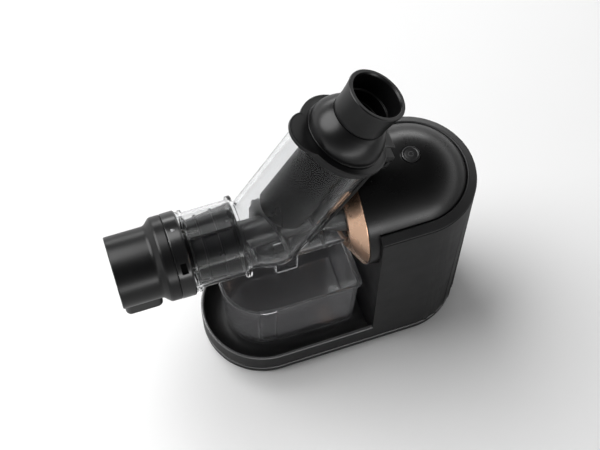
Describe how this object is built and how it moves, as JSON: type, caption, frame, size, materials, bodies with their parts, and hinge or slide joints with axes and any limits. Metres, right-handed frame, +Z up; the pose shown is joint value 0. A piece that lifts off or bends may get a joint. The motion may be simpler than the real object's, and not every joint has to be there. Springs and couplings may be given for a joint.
{
  "type": "cold press juicer",
  "caption": "Slim horizontal slow juicer: clear drum with slanted feed tube and pusher, smoky pulp container, dark stadium base with rounded motor tower.",
  "frame": {"origin": "centre of the bottom of the whole object's box, on the surface it stands on", "axes": "+X from the juice cap towards the motor tower, along the screw axis; +Y to the left of that, across the slim width; +Z up"},
  "size_m": [0.3058, 0.112, 0.335],
  "materials": {
    "housing_black": "satin, fine moulded grain",
    "plate_black": "matte",
    "bezel_black": "matte",
    "head_black": "satin gloss",
    "satin_black": "satin gloss",
    "copper": "rose gold satin",
    "clear": "clear polycarbonate",
    "smoky": "smoky clear plastic",
    "smoky_dark": "dark smoky plastic",
    "rubber_black": "matte",
    "seal_grey": "matte silicone",
    "button_black": "satin",
    "screw_black": "moulded, satin",
    "strainer_dark": "moulded, satin",
    "steel": "machined",
    "steel_dark": "phosphated",
    "gear_nylon": "moulded nylon",
    "case_grey": "glass filled",
    "magnet": "sintered",
    "bronze": "sintered bronze",
    "board_green": "solder resist",
    "component_black": "moulded"
  },
  "bodies": {
    "housing": {"main_housing": "housing_black", "bottom_plate": "plate_black", "rubber_feet": "rubber_black", "plate_screws": "steel_dark", "cord_inlet": "rubber_black", "top_bezel": "bezel_black", "head_cover": "head_black", "cone_ring": "copper", "chamber_socket": "satin_black", "shaft_seal": "seal_grey", "button_spring": "steel", "power_switch": "component_black", "switch_board": "board_green", "switch_bracket": "case_grey", "gearbox_case": "case_grey", "gearbox_cover": "case_grey", "output_bearing": "bronze", "motor_can": "steel_dark", "motor_front_bell": "steel", "motor_rear_bell": "case_grey", "motor_magnets": "magnet", "motor_bearings": "bronze", "motor_cradle": "case_grey", "control_board": "board_green", "board_parts": "component_black", "board_posts": "case_grey"},
    "drive": {"output_shaft": "steel", "output_gear": "gear_nylon", "auger_screw": "screw_black"},
    "countershaft": {"counter_shaft": "steel", "counter_pinion": "steel", "counter_gear": "gear_nylon"},
    "rotor": {"motor_rotor": "steel_dark", "rotor_pinion": "steel", "cooling_fan": "component_black"},
    "juicing_unit": {"juice_chamber": "clear", "chamber_seal": "seal_grey", "lock_ring": "smoky_dark", "strainer": "strainer_dark", "strainer_frame": "smoky_dark", "front_bush": "bronze", "feed_tray": "satin_black"},
    "pusher": {"pusher_body": "satin_black", "pusher_cup": "satin_black"},
    "front_cap": {"front_cap": "satin_black", "cap_seal": "seal_grey"},
    "pulp_container": {"pulp_container": "smoky"},
    "power_button": {"power_button": "button_black"}
  },
  "joints": [
    {"name": "screw_spin", "type": "hinge", "parent": "housing", "child": "drive", "pos_m": [0.0329, 0, 0.1707], "axis": [1, 0, 0], "continuous": true},
    {"name": "countershaft_spin", "type": "hinge", "parent": "housing", "child": "countershaft", "pos_m": [0.0729, 0, 0.1447], "axis": [1, 0, 0], "continuous": true},
    {"name": "rotor_spin", "type": "hinge", "parent": "housing", "child": "rotor", "pos_m": [0.0929, 0, 0.1187], "axis": [1, 0, 0], "continuous": true},
    {"name": "chamber_lock", "type": "hinge", "parent": "housing", "child": "juicing_unit", "pos_m": [0.0329, 0, 0.1707], "axis": [1, 0, 0], "range_deg": [0, 30]},
    {"name": "cap_lock", "type": "hinge", "parent": "juicing_unit", "child": "front_cap", "pos_m": [-0.1071, 0, 0.1707], "axis": [-1, 0, 0], "range_deg": [0, 30]},
    {"name": "pusher_slide", "type": "slide", "parent": "juicing_unit", "child": "pusher", "axis": [0.5, 0, 0.866], "range_m": [0, 0.095]},
    {"name": "container_lift", "type": "slide", "parent": "housing", "child": "pulp_container", "axis": [0, 0, 1], "range_m": [0, 0.02]},
    {"name": "button_press", "type": "slide", "parent": "housing", "child": "power_button", "axis": [0, 0, -1], "range_m": [0, 0.0012], "stiffness_N_per_m": 900, "deforming": ["button_spring"]}
  ],
  "couplings": [
    {"joint": "countershaft_spin", "follows": "rotor_spin", "ratio": -0.3},
    {"joint": "screw_spin", "follows": "rotor_spin", "ratio": 0.09}
  ]
}
